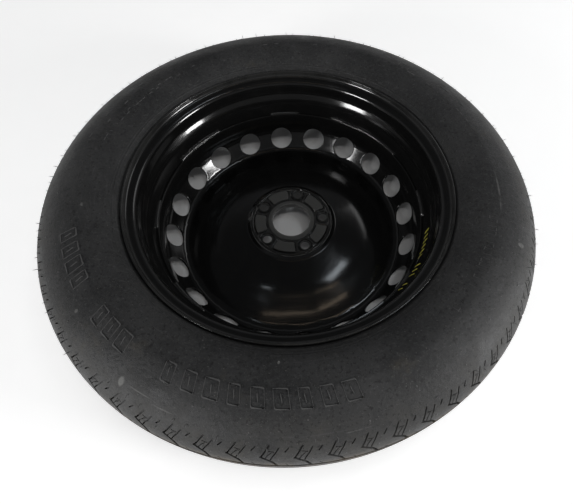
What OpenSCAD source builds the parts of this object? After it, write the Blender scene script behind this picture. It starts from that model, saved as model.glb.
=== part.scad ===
// Space-saver spare wheel with its tyre, lying flat with the hub side up.
// The origin is the centre of the hub bore on the face that meets the hub.
// Plus Z points to the side of the wheel that faces the car.

/* [Tyre] */
// Largest radius of the tyre, at the middle of the tread
tyre_r = 376.2; // [370:0.1:382]
// Half of the tyre's width at its widest ring
tyre_half_w = 80; // [77:0.5:82]
// Radius of the widest ring of the side wall
tyre_wide_r = 303; // [300:0.5:306]
// Depth of the tread grooves
groove_depth = 5; // [3:0.5:6]
// Width of each groove that runs round the tread
groove_w = 6; // [4:0.5:8]
// Number of cross slots in each shoulder
slot_count = 60; // [24:1:72]
// Width of each cross slot
slot_w = 3; // [2:0.5:5]
// Angle of the first cross slot of the upper shoulder
slot_phase = 0.6; // [0:0.1:6]

/* [Rim] */
// Distance from the hub face up to the middle plane of the rim
offset_z = 41; // [38:0.5:44]
// Outer radius of the rim flanges
flange_r = 246.5; // [245:0.1:248]
// Half of the rim's overall width
rim_half_w = 63.5; // [62:0.1:65]
// Thickness of the rim's sheet
rim_t = 2.8; // [2.4:0.1:3.2]
// Inner radius of the drop well
well_r = 211.5; // [210:0.1:213]

/* [Disc] */
// Thickness of the disc's sheet
disc_t = 3.5; // [3:0.1:4]
// Height of the disc's welded edge above the hub face
disc_top_z = 35; // [32:0.5:38]
// Number of vent holes
vent_count = 20; // [12:1:24]
// Radius of each vent hole
vent_r = 20; // [15:0.5:21]
// Angle of the first vent hole
vent_phase = 93.5; // [0:0.1:120]
// Slope of the ring that carries the vent holes, from level
vent_slope = 54.4; // [50:0.1:58]

/* [Hub] */
// Radius of the centre bore
bore_r = 31.7; // [28:0.1:36]
// Radius of the bolt circle
bolt_circle_r = 54; // [52:0.5:57]
// Number of bolt holes
bolt_count = 5; // [4:1:6]
// Radius of each bolt hole
bolt_r = 7.3; // [6.5:0.1:8]
// Angle of the first bolt hole
bolt_phase = 76.3; // [0:0.1:90]
// Outer radius of the raised hub pad
pad_r = 70; // [68:0.5:72]

/* [Valve] */
// Angle of the valve round the rim
valve_angle = 243; // [0:1:360]
// Distance of the valve from the wheel's centre
valve_r = 220.6; // [220.4:0.1:220.8]
// Radius of the valve hole in the rim
valve_hole_r = 4.4; // [4.2:0.1:4.6]
// Travel of the valve core's pin
pin_travel = 1.5; // [1:0.1:1.8]

/* [Hidden] */
$fn = 96;

// Bead seats and flanges, measured from the rim's middle plane
bead_half_w = 50.8;
wall_x = bead_half_w + rim_t;
seat_heel_r = 228.3;
seat_toe_r = 226;
seat_toe_x = 31;
well_top_r = 219;
well_top_x = 20;
ledge_x = -24;

// Lean of the drop well's wall, in mm of radius for each mm of height
wall_lean = (well_top_r - well_r) / (well_top_x - ledge_x);
lean_angle = atan(wall_lean);

// Heights of the disc and of the hub pad
vent_ring_r = 198.9;
vent_z = -13.9;
valley_r = 181;
valley_z = -31.5;
disc_edge_r = well_r - disc_t;
disc_bend_z = offset_z + ledge_x + disc_t * (1 / cos(lean_angle) - 1) / wall_lean;
disc_lip_r = disc_edge_r + wall_lean * (disc_top_z - disc_bend_z);
pad_top_z = -2;
pad_step_z = -7;
bore_depth = 9;

// First and last angle of each weld bead. The last three are out of the photo's sight.
weld_arcs = [[-7, 7], [29, 53.5], [60.5, 67.5], [84, 98], [125, 150], [173, 187.5], [215, 233], [262, 280],
    [307, 325]];

// Angle about which the slots of the lower shoulder mirror those of the upper one
slot_middle = 2.5;

// Heights of the valve, in a frame whose zero is the stem's tip and whose Z points into the tyre
ledge_z = offset_z + ledge_x;
valve_tip_z = -9;
ledge_u = ledge_z - valve_tip_z;
stem_len = ledge_u + rim_t + 1;
stem_r = 3.85;
thread_len = 10;
core_seat_u = 11;
spring_low_u = 4;
spring_high_u = 10;

function unit(v) = v / norm(v);

// Arc that rounds the corner b between the points a and c
function corner_arc(a, b, c, rad, n = 5) =
    let (
        u = unit(a - b),
        w = unit(c - b),
        half = acos(u * w) / 2,
        centre = b + unit(u + w) * rad / sin(half),
        p = b + u * rad / tan(half) - centre,
        q = b + w * rad / tan(half) - centre,
        sweep = acos(p * q / (rad * rad)),
        turn = p[0] * q[1] - p[1] * q[0] > 0 ? sweep : -sweep
    )
    [for (i = [0 : n])
        let (t = turn * i / n)
        centre + [p[0] * cos(t) - p[1] * sin(t), p[0] * sin(t) + p[1] * cos(t)]];

// Path through corners [r, z, radius], each rounded by its own radius
function rounded(c) = [for (i = [0 : len(c) - 1])
    let (b = [c[i][0], c[i][1]])
    each (i == 0 || i == len(c) - 1 || c[i][2] == 0
        ? [b]
        : corner_arc([c[i - 1][0], c[i - 1][1]], b, [c[i + 1][0], c[i + 1][1]], c[i][2]))];

// Left-hand normal of each point of a path, long enough to keep the sheet's thickness at a bend
function edge_normal(a, b) = let (d = unit(b - a)) [-d[1], d[0]];
function point_normal(p, i) =
    i == 0 ? edge_normal(p[0], p[1])
    : i == len(p) - 1 ? edge_normal(p[i - 1], p[i])
    : let (m = edge_normal(p[i - 1], p[i]), n = edge_normal(p[i], p[i + 1])) (m + n) / (1 + m * n);

// Outline of a bent sheet whose visible face is the path
function sheet(p, t) = concat(p,
    [for (i = [len(p) - 1 : -1 : 0]) p[i] + t * point_normal(p, i)]);

// Part of a superellipse from the crown of the tyre to its widest ring
function crown_curve(r, half_w, n, side, steps = 16) = [for (i = [0 : steps])
    let (t = 90 * i / steps)
    [tyre_wide_r + (r - tyre_wide_r) * pow(cos(t), 1.48), side * half_w * pow(sin(t), 2 / n)]];

// Side wall arc from the widest ring in to the flange
sidewall_arc_r = 84.5;
function sidewall_curve(side, steps = 8) = [for (i = [1 : steps])
    let (r = tyre_wide_r - 54 * i / steps)
    [r, side * (tyre_half_w - sidewall_arc_r + sqrt(pow(sidewall_arc_r, 2) - pow(r - tyre_wide_r, 2)))]];

// Bead that rests on the rim, from the flange to the inside of the tyre
function bead_curve(side) = [for (p = rounded([
        [249, 60.4, 0], [244.2, bead_half_w - 0.3, 5], [231.45, bead_half_w - 0.3, 7], [230.4, 36, 1.5],
        [232.6, 34.5, 1.5], [243, 46, 14], [262, 64, 22], [292, 73, 0]]))
    [p[0], side * p[1]]];

function reverse(p) = [for (i = [len(p) - 1 : -1 : 0]) p[i]];

// Half of the tyre's section on one side of its middle plane
function tyre_half(side) = concat(
    crown_curve(tyre_r, tyre_half_w, 3.1, side), sidewall_curve(side, 7), bead_curve(side),
    reverse(crown_curve(tyre_r - 14, tyre_half_w - 6, 3.1, side)));

// Tyre casing with its tread grooves and shoulder slots
module tyre() {
    color([0.13, 0.13, 0.13])
        translate([0, 0, offset_z])
            difference() {
                union() {
                    rotate_extrude() polygon(tyre_half(1));
                    rotate_extrude() polygon(tyre_half(-1));
                }
                for (x = [-22, 0, 22]) tread_groove(x);
                for (i = [0 : slot_count - 1])
                    for (side = [-1, 1])
                        rotate([0, 0, slot_middle + side * (slot_phase - slot_middle) + 360 * i / slot_count])
                            shoulder_slot(side);
            }
}

// Ring that cuts one groove round the tread
module tread_groove(x) {
    rotate_extrude()
        translate([tyre_r - groove_depth - 0.6, x - groove_w / 2])
            square([groove_depth + 6, groove_w]);
}

// Slanted box that cuts one slot from the outer groove across a shoulder
module shoulder_slot(side) {
    slant = 55;
    crown_tilt = 12;
    slot_len = 33;
    floor_r = tyre_r - groove_depth - 0.6;
    middle_x = 33.5;
    translate([floor_r, 0, side * middle_x])
        rotate([0, -side * crown_tilt, 0])
            rotate([slant, 0, 0])
                translate([0, -slot_w / 2, -slot_len / 2])
                    cube([groove_depth + 8, slot_w, slot_len]);
}

// Rim barrel: flanges, bead seats and the drop well, rolled from one sheet
module rim() {
    lip_r = flange_r - rim_t;
    path = rounded([
        [lip_r, rim_half_w, 0], [lip_r, wall_x, 6], [seat_heel_r, wall_x, 9.3],
        [seat_toe_r, seat_toe_x, 16], [well_top_r, well_top_x, 40], [well_r, ledge_x, 4],
        [seat_toe_r + 0.4, ledge_x, 4], [seat_heel_r, -wall_x, 9.3], [lip_r, -wall_x, 6],
        [lip_r, -rim_half_w, 0]]);
    color([0.05, 0.05, 0.055])
        difference() {
            translate([0, 0, offset_z]) rotate_extrude() polygon(sheet(path, rim_t));
            at_valve() translate([0, 0, ledge_u - 5]) cylinder(r = valve_hole_r, h = 14);
        }
}

// Disc: weld flange, vent ring, valley, dome and hub pad, pressed from one sheet
module wheel_disc() {
    color([0.05, 0.05, 0.055])
        difference() {
            union() {
                rotate_extrude() polygon(disc_outline());
                hub_pads();
            }
            for (i = [0 : vent_count - 1])
                rotate([0, 0, vent_phase - 360 * i / vent_count])
                    translate([vent_ring_r, 0, vent_z])
                        rotate([0, -vent_slope, 0])
                            cylinder(r = vent_r, h = 60, center = true);
            for (i = [0 : bolt_count - 1])
                rotate([0, 0, bolt_phase + 360 * i / bolt_count])
                    translate([bolt_circle_r, 0, 0])
                        bolt_cut();
        }
}

// Half section of the disc: its visible face, the turned collar round the bore, and its far face
function disc_outline() =
    let (
        shoulder = vent_z + (disc_edge_r - vent_ring_r) * tan(vent_slope),
        foot = vent_z - (vent_ring_r - valley_r) * tan(vent_slope),
        collar_r = bore_r + 8,
        path = rounded([
            [disc_lip_r, disc_top_z, 0], [disc_edge_r, disc_bend_z, 20], [disc_edge_r, shoulder, 22],
            [valley_r + 3.2, foot + 4.6, 11], [120, -15, 190], [pad_r + 5, pad_step_z, 5],
            [pad_r - 1.5, pad_top_z, disc_t + 0.7], [collar_r, pad_top_z, 0]]),
        last = len(path) - 1,
        ring = [[pad_r - 1.8, pad_top_z], [pad_r - 3, pad_top_z + 0.9], [pad_r - 5.5, pad_top_z + 0.9],
            [pad_r - 5.5, pad_top_z]],
        collar = [[collar_r - 1.5, 0], [bore_r, 0], [bore_r, -bore_depth], [bore_r + 3.5, -bore_depth]])
    concat([for (i = [0 : last - 1]) path[i]], ring, [path[last]], collar,
        [for (i = [last : -1 : 0]) path[i] + disc_t * point_normal(path, i)]);

// Raised faces that meet the hub, one arc between each two bolt holes
module hub_pads() {
    arc = 360 / bolt_count - 36;
    for (i = [0 : bolt_count - 1])
        rotate([0, 0, bolt_phase + 360 * (i + 0.5) / bolt_count - arc / 2])
            rotate_extrude(angle = arc)
                translate([43.5, pad_top_z - 1])
                    square([18, 1 - pad_top_z]);
}

// Bolt hole with the sunk ring round it and the cone seat for the bolt on the far side
module bolt_cut() {
    translate([0, 0, -20]) cylinder(r = bolt_r, h = 30);
    difference() {
        translate([0, 0, pad_top_z - 1.4]) cylinder(r = 12, h = 5);
        translate([0, 0, pad_top_z - 2]) cylinder(r = 9.6, h = 10);
    }
    translate([0, 0, pad_top_z - disc_t - 0.01]) mirror([0, 0, 1]) cylinder(r = 12, h = 6);
    translate([0, 0, pad_top_z - disc_t - 0.01]) cylinder(r1 = 9, r2 = bolt_r, h = 1.7);
}

// Weld beads that join the disc's edge to the drop well
module disc_welds() {
    bead_w = 3.2;
    bead_h = 3.6;
    color([0.06, 0.06, 0.065])
        for (arc = weld_arcs)
            rotate([0, 0, arc[0]])
                rotate_extrude(angle = arc[1] - arc[0])
                    translate([disc_lip_r + disc_t * cos(lean_angle), disc_top_z - disc_t * sin(lean_angle)])
                        polygon(concat([[0, 0]], [for (t = [90 : 15 : 180])
                            bead_w * cos(t) * [cos(lean_angle), -sin(lean_angle)]
                                + bead_h * sin(t) * [sin(lean_angle), cos(lean_angle)]]));
}

// Puts a valve piece at its place in the rim, with its tip down
module at_valve() {
    rotate([0, 0, valve_angle])
        translate([valve_r, 0, valve_tip_z])
            children();
}

// Rubber body that is pulled into the rim's valve hole
module valve_body() {
    color([0.1, 0.1, 0.1])
        at_valve()
            rotate_extrude()
                polygon([[3.1, thread_len], [4.2, thread_len], [4.7, ledge_u - 4], [4.7, ledge_u - 1.6],
                    [4.0, ledge_u], [valve_hole_r, ledge_u], [valve_hole_r, ledge_u + rim_t],
                    [4.9, ledge_u + rim_t], [5.2, ledge_u + rim_t + 0.6], [5.2, ledge_u + rim_t + 2.2],
                    [4.5, ledge_u + rim_t + 3], [3.1, ledge_u + rim_t + 3]]);
}

// Brass tube with the thread for the cap outside and the seat for the core inside
module valve_stem() {
    color([0.75, 0.6, 0.3])
        at_valve()
            rotate_extrude()
                polygon([[2.6, 0], [stem_r - 0.5, 0], [stem_r, 0.5], [stem_r, thread_len - 0.6],
                    [3.1, thread_len], [3.1, stem_len], [1.7, stem_len], [1.7, 15], [2.1, 14.4],
                    [2.1, 7.4], [2.6, 6.4]]);
}

// Core plug: threaded head and the barrel that holds the spring
module valve_core_plug() {
    color([0.8, 0.66, 0.35])
        at_valve()
            difference() {
                rotate_extrude()
                    polygon([[0.75, 1.2], [2.55, 1.2], [2.55, 5.6], [1.7, 6.2], [1.7, core_seat_u],
                        [0.75, core_seat_u], [0.75, spring_high_u], [1.3, spring_high_u], [1.3, 3.2],
                        [0.75, 3.2]]);
                for (side = [-1, 1])
                    translate([side * 2.4, 0, 2]) cube([2, 6, 1.7], center = true);
            }
}

// Ring that seals the core in the stem
module valve_core_gasket() {
    color([0.7, 0.15, 0.12])
        at_valve()
            rotate_extrude()
                polygon([[1.7, 6.6], [2.3, 6.9], [2.05, 7.5], [2.05, 8.6], [1.7, 8.8]]);
}

// Pin that opens the valve when it is pressed
module valve_core_pin() {
    color([0.8, 0.66, 0.35])
        at_valve()
            rotate_extrude()
                polygon([[0, 0.1], [0.4, 0.1], [0.5, 0.2], [0.5, 3.3], [1.1, 3.3], [1.1, spring_low_u],
                    [0.5, spring_low_u], [0.5, 14], [0, 14]]);
}

// Cup with its rubber washer that closes the core's barrel
module valve_core_seat() {
    color([0.12, 0.12, 0.12])
        at_valve()
            rotate_extrude()
                polygon([[0.5, core_seat_u], [1.5, core_seat_u], [1.5, 12.4], [1, 13.4], [0.5, 13.4]]);
}

// Spring that keeps the pin closed
module valve_core_spring() {
    turns = 6;
    steps = 12;
    sides = 6;
    coil_r = 0.95;
    wire_r = 0.13;
    count = turns * steps;
    low = spring_low_u + wire_r + 0.02;
    rise = (spring_high_u - spring_low_u - 2 * wire_r - 0.04) / count;
    points = [for (i = [0 : count])
        for (j = [0 : sides - 1])
            let (a = 360 * i / steps, b = 360 * j / sides, r = coil_r + wire_r * cos(b))
            [r * cos(a), r * sin(a), low + rise * i + wire_r * sin(b)]];
    faces = concat(
        [[for (j = [0 : sides - 1]) j]],
        [[for (j = [sides - 1 : -1 : 0]) count * sides + j]],
        [for (i = [0 : count - 1])
            for (j = [0 : sides - 1])
                let (k = (j + 1) % sides)
                [i * sides + k, i * sides + j, (i + 1) * sides + j, (i + 1) * sides + k]]);
    color([0.7, 0.7, 0.72])
        at_valve()
            polyhedron(points, faces, convexity = 10);
}

// Screw cap with a ribbed grip
module valve_cap() {
    rib_count = 18;
    color([0.08, 0.08, 0.08])
        at_valve()
            difference() {
                rotate_extrude()
                    polygon([[0, -2.6], [4.2, -2.6], [4.9, -1.8], [4.9, 8.8], [stem_r + 0.06, 8.8],
                        [stem_r + 0.06, 0], [3.4, 0], [3.4, -1], [0, -1]]);
                for (i = [0 : rib_count - 1])
                    rotate([0, 0, 360 * i / rib_count])
                        translate([5.1, 0, -1.2])
                            cylinder(r = 0.45, h = 8, $fn = 24);
            }
}

// Soft disc in the cap that meets the stem's tip
module valve_cap_seal() {
    color([0.25, 0.25, 0.25])
        at_valve()
            translate([0, 0, -1]) cylinder(r = 3.3, h = 1);
}

tyre();
rim();
wheel_disc();
disc_welds();
valve_body();
valve_stem();
valve_core_plug();
valve_core_gasket();
valve_core_pin();
valve_core_seat();
valve_core_spring();
valve_cap();
valve_cap_seal();
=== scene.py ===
"""Looks of a space-saver spare wheel and its tyre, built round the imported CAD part.

Lengths in the helpers are millimetres and angles are degrees, unless a line says otherwise.
"""

import math

import bmesh
import bpy
import numpy as np
from mathutils import Matrix, Vector
from mathutils.geometry import delaunay_2d_cdt


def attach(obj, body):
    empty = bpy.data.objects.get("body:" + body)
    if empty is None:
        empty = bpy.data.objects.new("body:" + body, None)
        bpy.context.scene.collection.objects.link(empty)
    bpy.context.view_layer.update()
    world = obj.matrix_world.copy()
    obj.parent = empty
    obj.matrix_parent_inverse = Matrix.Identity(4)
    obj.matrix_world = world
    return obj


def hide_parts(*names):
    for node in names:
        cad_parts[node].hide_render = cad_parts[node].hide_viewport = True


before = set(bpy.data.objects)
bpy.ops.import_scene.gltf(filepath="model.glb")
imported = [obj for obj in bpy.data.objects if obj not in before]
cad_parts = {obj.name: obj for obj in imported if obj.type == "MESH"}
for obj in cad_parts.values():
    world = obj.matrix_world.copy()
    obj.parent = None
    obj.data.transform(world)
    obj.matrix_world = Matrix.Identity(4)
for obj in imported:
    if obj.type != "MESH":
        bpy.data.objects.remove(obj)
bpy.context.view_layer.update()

MM = 0.001
SEGMENTS = 360
RANDOM_SEED = 7

# Main sizes, as in the CAD part
FLOOR_Z = -39
RIM_MID_Z = 41
TYRE_R = 376.1
TYRE_HALF_W = 80
TYRE_WIDE_R = 303
SIDE_ARC_R = 84.5
RIM_T = 2.8
DISC_T = 3.5
VENT_COUNT = 20
VENT_R = 20
VENT_RING_R = 198.9
VENT_Z = -13.9
VENT_PHASE = 93.5
VENT_SLOPE = 54.4
BOLT_COUNT = 5
BOLT_PITCH = 360 / BOLT_COUNT
BOLT_R = 7.3
SEAT_R = 9.0
BOLT_CIRCLE_R = 54
BOLT_PHASE = 76.3
BORE_R = 31.7
PAD_TOP = -2
PITCHES = 60
WELL_TOP = (219, 20)
LEDGE = (211.5, -24)
WALL_LEAN = math.atan((WELL_TOP[0] - LEDGE[0]) / (WELL_TOP[1] - LEDGE[1]))
DISC_EDGE_R = 208
DISC_LIP = (211.018, 35)
DISC_BEND = (DISC_EDGE_R, 17.296)


# Meshes

class Shape:
    """Points and faces that grow part by part and then become one object."""

    def __init__(self):
        self.points = []
        self.faces = []
        self.count = 0

    def add(self, points, faces):
        points = np.asarray(points, float).reshape(-1, 3)
        start = self.count
        self.points.append(points)
        self.faces += [tuple(int(i) + start for i in face) for face in faces]
        self.count += len(points)

    def grid(self, rows, wrap=False):
        """Quads between rows of points. wrap joins the last point of each row to its first."""
        rows = np.asarray(rows, float)
        m, n = rows.shape[:2]
        i, j = np.meshgrid(np.arange(m - 1), np.arange(n if wrap else n - 1), indexing="ij")
        a = (i * n + j).ravel()
        b = (i * n + (j + 1) % n).ravel()
        self.add(rows, np.stack([a, b, b + n, a + n], 1))

    def build(self, name, material, sharp=38, weld=0.01):
        mesh = bpy.data.meshes.new(name)
        mesh.from_pydata((np.concatenate(self.points) * MM).tolist(), [], self.faces)
        work = bmesh.new()
        work.from_mesh(mesh)
        bmesh.ops.remove_doubles(work, verts=work.verts, dist=weld * MM)
        bmesh.ops.dissolve_degenerate(work, edges=work.edges, dist=0.001 * MM)
        bmesh.ops.recalc_face_normals(work, faces=work.faces)
        work.to_mesh(mesh)
        work.free()
        mesh.shade_smooth()
        mesh.set_sharp_from_angle(angle=math.radians(sharp))
        mesh.materials.append(material)
        obj = bpy.data.objects.new(name, mesh)
        bpy.context.scene.collection.objects.link(obj)
        return obj


def unit(v):
    v = np.asarray(v, float)
    return v / np.linalg.norm(v, axis=-1, keepdims=True)


def smooth_step(x):
    x = np.clip(x, 0, 1)
    return x * x * (3 - 2 * x)


def polar(r, angle, z):
    """Points at radius r, at an angle in radians and at height z, all broadcast together."""
    r, angle, z = np.broadcast_arrays(r, angle, z)
    return np.stack([r * np.cos(angle), r * np.sin(angle), z], -1)


def all_round(segments=SEGMENTS, phase=0.5):
    """Angles of a full ring, in radians."""
    return np.radians(phase + np.arange(segments) * 360 / segments)


def lathe(shape, path, angles, closed=False):
    rows = [polar(r, angles, z) for r, z in path]
    if closed:
        rows.append(rows[0])
    shape.grid(rows, wrap=True)


# Paths in the wheel's half section, as points of radius and height

def corner_arc(a, b, c, radius, step):
    """Arc that rounds the corner b between the points a and c."""
    a, b, c = (np.asarray(p[:2], float) for p in (a, b, c))
    u, w = unit(a - b), unit(c - b)
    half = math.acos(float(u @ w)) / 2
    centre = b + unit(u + w) * radius / math.sin(half)
    p = b + u * radius / math.tan(half) - centre
    q = b + w * radius / math.tan(half) - centre
    sweep = math.acos(float(np.clip(p @ q / radius**2, -1, 1)))
    turn = sweep if p[0] * q[1] - p[1] * q[0] > 0 else -sweep
    n = max(3, math.ceil(radius * sweep / step))
    across = np.array([-p[1], p[0]])
    return [centre + p * math.cos(t) + across * math.sin(t) for t in turn * np.arange(n + 1) / n]


def rounded(corners, step=0.5):
    """Path through corners (r, z, radius), each rounded by its own radius."""
    out = []
    for i, corner in enumerate(corners):
        if 0 < i < len(corners) - 1 and len(corner) > 2 and corner[2] > 0:
            out += corner_arc(corners[i - 1], corner, corners[i + 1], corner[2], step)
        else:
            out.append(np.asarray(corner[:2], float))
    return np.array(out)


def divided(path, step):
    """The same path with no stretch longer than step."""
    out = [path[0]]
    for a, b in zip(path[:-1], path[1:]):
        n = max(1, math.ceil(np.linalg.norm(b - a) / step))
        out += [a + (b - a) * k / n for k in range(1, n + 1)]
    return np.array(out)


class Profile:
    """A path that gives its place and its left-hand normal at any length along it."""

    def __init__(self, path, step=0.25):
        self.path = divided(np.asarray(path, float), step)
        gaps = np.linalg.norm(np.diff(self.path, axis=0), axis=1)
        keep = np.concatenate([[True], gaps > 1e-6])
        self.path = self.path[keep]
        gaps = np.linalg.norm(np.diff(self.path, axis=0), axis=1)
        self.s = np.concatenate([[0], np.cumsum(gaps)])
        self.length = float(self.s[-1])
        tangent = unit(np.gradient(self.path, self.s, axis=0))
        self.normal = np.stack([-tangent[:, 1], tangent[:, 0]], 1)

    def at(self, s, offset=0):
        """(r, z) at length s, moved by offset along the normal."""
        normal_r = np.interp(s, self.s, self.normal[:, 0])
        normal_z = np.interp(s, self.s, self.normal[:, 1])
        scale = offset / np.hypot(normal_r, normal_z)
        return (np.interp(s, self.s, self.path[:, 0]) + normal_r * scale,
                np.interp(s, self.s, self.path[:, 1]) + normal_z * scale)

    def points(self, s, offset=0):
        return np.stack(self.at(np.asarray(s, float), offset), -1)

    def length_where(self, column, value, low=0.0, high=None):
        """First length between low and high where the radius (column 0) or height (column 1) passes value."""
        high = self.length if high is None else high
        inside = (self.s >= low) & (self.s <= high)
        s, v = self.s[inside], self.path[inside, column] - value
        k = int(np.argmax(np.sign(v[:-1]) != np.sign(v[1:])))
        return float(s[k] + (s[k + 1] - s[k]) * v[k] / (v[k] - v[k + 1]))


def quarter_turn(steps):
    """Angles from 0 to a right angle, in radians."""
    return [math.pi / 2 * k / steps for k in range(steps + 1)]


def rounded_edge(profile, thickness, at_end, radius=0.9, steps=4):
    """Points that close a sheet at one end of its path, from the near face to the far one."""
    end, back = (profile.length, -1) if at_end else (0.0, 1)
    base = profile.points([end])[0]
    normal = unit(profile.points([end], 1.0)[0] - base)
    inward = unit(profile.points([end + back])[0] - base)
    near = base + (inward + normal) * radius
    far = base + inward * radius + normal * (thickness - radius)
    turns = [(math.cos(t), math.sin(t)) for t in quarter_turn(steps)]
    near_arc = [near - radius * (normal * c + inward * s) for c, s in turns]
    far_arc = [far + radius * (normal * s - inward * c) for c, s in turns]
    return np.array(near_arc + far_arc)


# Rim: one rolled sheet with both flanges

def rim_profile():
    half_w, wall_x, lip_r, seat_r = 63.5, 53.6, 243.7, 228.3
    corners = [(lip_r, half_w), (lip_r, wall_x, 6), (seat_r, wall_x, 9.3), (226, 31, 16), (*WELL_TOP, 40),
               (*LEDGE, 4), (226.4, LEDGE[1], 4), (seat_r, -wall_x, 9.3), (lip_r, -wall_x, 6),
               (lip_r, -half_w)]
    return Profile(rounded([(r, RIM_MID_Z + x, *rest) for r, x, *rest in corners]))


def spaced(low, high, step):
    return np.linspace(low, high, max(2, math.ceil((high - low) / step) + 1))


def turning_steps(profile, low, high, step, fine=0.12):
    """Lengths along a path, close together where it bends and step apart where it is straight."""
    s = spaced(low, high, 0.4)
    r, z = profile.at(s)
    heading = np.unwrap(np.arctan2(np.gradient(z, s), np.gradient(r, s)))
    cost = np.abs(np.gradient(heading, s)) / fine + 1 / step
    total = np.concatenate([[0], np.cumsum((cost[1:] + cost[:-1]) / 2 * np.diff(s))])
    n = max(2, math.ceil(total[-1]))
    return np.interp(np.linspace(0, total[-1], n + 1), total, s)


def build_rim(material):
    profile = rim_profile()
    edge = 0.9
    s = turning_steps(profile, edge, profile.length - edge, 5)
    outline = np.concatenate([
        rounded_edge(profile, RIM_T, False, edge)[::-1],
        profile.points(s),
        rounded_edge(profile, RIM_T, True, edge),
        profile.points(s[::-1], RIM_T)])
    shape = Shape()
    lathe(shape, outline, all_round(), closed=True)
    return shape.build("rim_barrel", material)


# Disc: weld flange, vent ring, dome and hub pad, pressed from one sheet

def disc_profile():
    slope = math.tan(math.radians(VENT_SLOPE))
    shoulder = VENT_Z + (DISC_EDGE_R - VENT_RING_R) * slope
    foot = VENT_Z - (VENT_RING_R - 181) * slope
    return Profile(rounded([DISC_LIP, (*DISC_BEND, 20), (DISC_EDGE_R, shoulder, 22), (184.2, foot + 4.6, 11),
                            (120, -15, 190), (75, -7, 5), (68.5, PAD_TOP, 4.2), (39.7, PAD_TOP)]))


def distance_from_axis(points, centre, axis):
    offset = points - centre
    return np.linalg.norm(offset - (offset @ axis)[..., None] * axis, axis=-1)


def hole_edge(place, centre_2d, outer_2d, centre, axis, radius):
    """Parameters, on the lines from a hole's centre to the outer points, that lie at radius from its axis."""
    low, high = np.zeros(len(outer_2d)), np.ones(len(outer_2d))
    for _ in range(36):
        mid = (low + high) / 2
        there = place(centre_2d + (outer_2d - centre_2d) * mid[:, None])
        inside = distance_from_axis(there, centre, axis) < radius
        low, high = np.where(inside, mid, low), np.where(inside, high, mid)
    return (low + high) / 2


def face_round_hole(shape, place, centre_2d, outer_2d, centre, axis, radius, shares, edge):
    """One face of a sheet round a hole. Returns the hole's rounded lip and the directions out of its axis."""
    reach = outer_2d - centre_2d
    start = hole_edge(place, centre_2d, outer_2d, centre, axis, radius + edge)
    rows = [place(centre_2d + reach * (start + (1 - start) * share)[:, None]) for share in shares]
    shape.grid(rows, wrap=True)
    offset = rows[0] - centre
    outward = unit(offset - (offset @ axis)[:, None] * axis)
    lip = [rows[0] - edge * (outward * math.sin(t) + axis * (1 - math.cos(t))) for t in quarter_turn(3)]
    return lip, outward


def rectangle_outline(low_u, high_u, rows_u, low_v, high_v, count_v):
    """Points round a rectangle, in order: along v at low_u, along u at high_v, and back."""
    v = np.linspace(low_v, high_v, count_v + 1)
    out = [(low_u, k) for k in v[:-1]]
    out += [(k, high_v) for k in rows_u[:-1]]
    out += [(high_u, k) for k in v[:0:-1]]
    out += [(k, low_v) for k in rows_u[:0:-1]]
    return np.array(out, float)


VENT_MM_PER_DEGREE = math.radians(VENT_RING_R)


def add_vents(shape, profile, s_top, s_low):
    """The ring of vents: a patch of 18 degrees round each hole."""
    half = 180 / VENT_COUNT
    reach = half * VENT_MM_PER_DEGREE
    outer = rectangle_outline(s_top, s_low, spaced(s_top, s_low, 3.4), -reach, reach, 2 * round(half))
    hole = np.array([profile.length_where(0, VENT_RING_R, s_top, s_low), 0.0])
    tilt = math.radians(VENT_SLOPE)
    for i in range(VENT_COUNT):
        middle = math.radians(VENT_PHASE - 360 * i / VENT_COUNT)
        centre = polar(VENT_RING_R, middle, VENT_Z)
        axis = polar(-math.sin(tilt), middle, math.cos(tilt))

        def face(offset, side, shares):
            def place(uv):
                r, z = profile.at(uv[:, 0], offset)
                return polar(r, middle + np.radians(uv[:, 1] / VENT_MM_PER_DEGREE), z)
            return face_round_hole(shape, place, hole, outer, centre, side * axis, VENT_R, shares, 0.7)[0]

        front = face(0.0, 1, (0, 0.06, 0.16, 0.3, 0.48, 0.7, 1))
        back = face(DISC_T, -1, (0, 0.2, 0.55, 1))
        shape.grid(front + back[::-1], wrap=True)


def rounded_box(a, b, half_a, half_b, corner):
    """Distance inside a box with round corners: positive inside."""
    qa, qb = np.abs(a) - (half_a - corner), np.abs(b) - (half_b - corner)
    outside = np.hypot(np.maximum(qa, 0), np.maximum(qb, 0))
    return corner - outside - np.minimum(np.maximum(qa, qb), 0)


def hub_relief(r, angle):
    """Height that the hub pad's rings, arcs and sunk rings add to the plain sheet."""
    ring = 0.9 * smooth_step((r - 64.1) / 0.8) * smooth_step((68.4 - r) / 1.4)
    ring -= 1.1 * np.exp(-((r - 62.9) / 0.8) ** 2)
    degrees = np.degrees(angle)
    between = (degrees - BOLT_PHASE + BOLT_PITCH) % BOLT_PITCH - BOLT_PITCH / 2
    arc = rounded_box(r - 52.5, np.radians(between) * r, 9, math.radians(18) * r, 3)
    pads = -PAD_TOP * smooth_step((arc + 0.5) / 1.0) - 0.9 * np.exp(-((arc + 1.3) / 0.8) ** 2)
    nearest = (degrees - BOLT_PHASE + BOLT_PITCH / 2) % BOLT_PITCH - BOLT_PITCH / 2
    from_bolt = np.hypot(r * np.cos(np.radians(nearest)) - BOLT_CIRCLE_R, r * np.sin(np.radians(nearest)))
    sunk = -1.4 * smooth_step((from_bolt - 9.2) / 0.8) * smooth_step((12.4 - from_bolt) / 0.8)
    collar = 0.9 * smooth_step((9.6 - from_bolt) / 0.6)
    near_bolt = smooth_step((13.2 - from_bolt) / 0.8)
    return ring * (1 - near_bolt) + pads * (1 - near_bolt) + sunk + collar


HUB_OUTER_R = 82
HUB_INNER_R = 39.7


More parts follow.
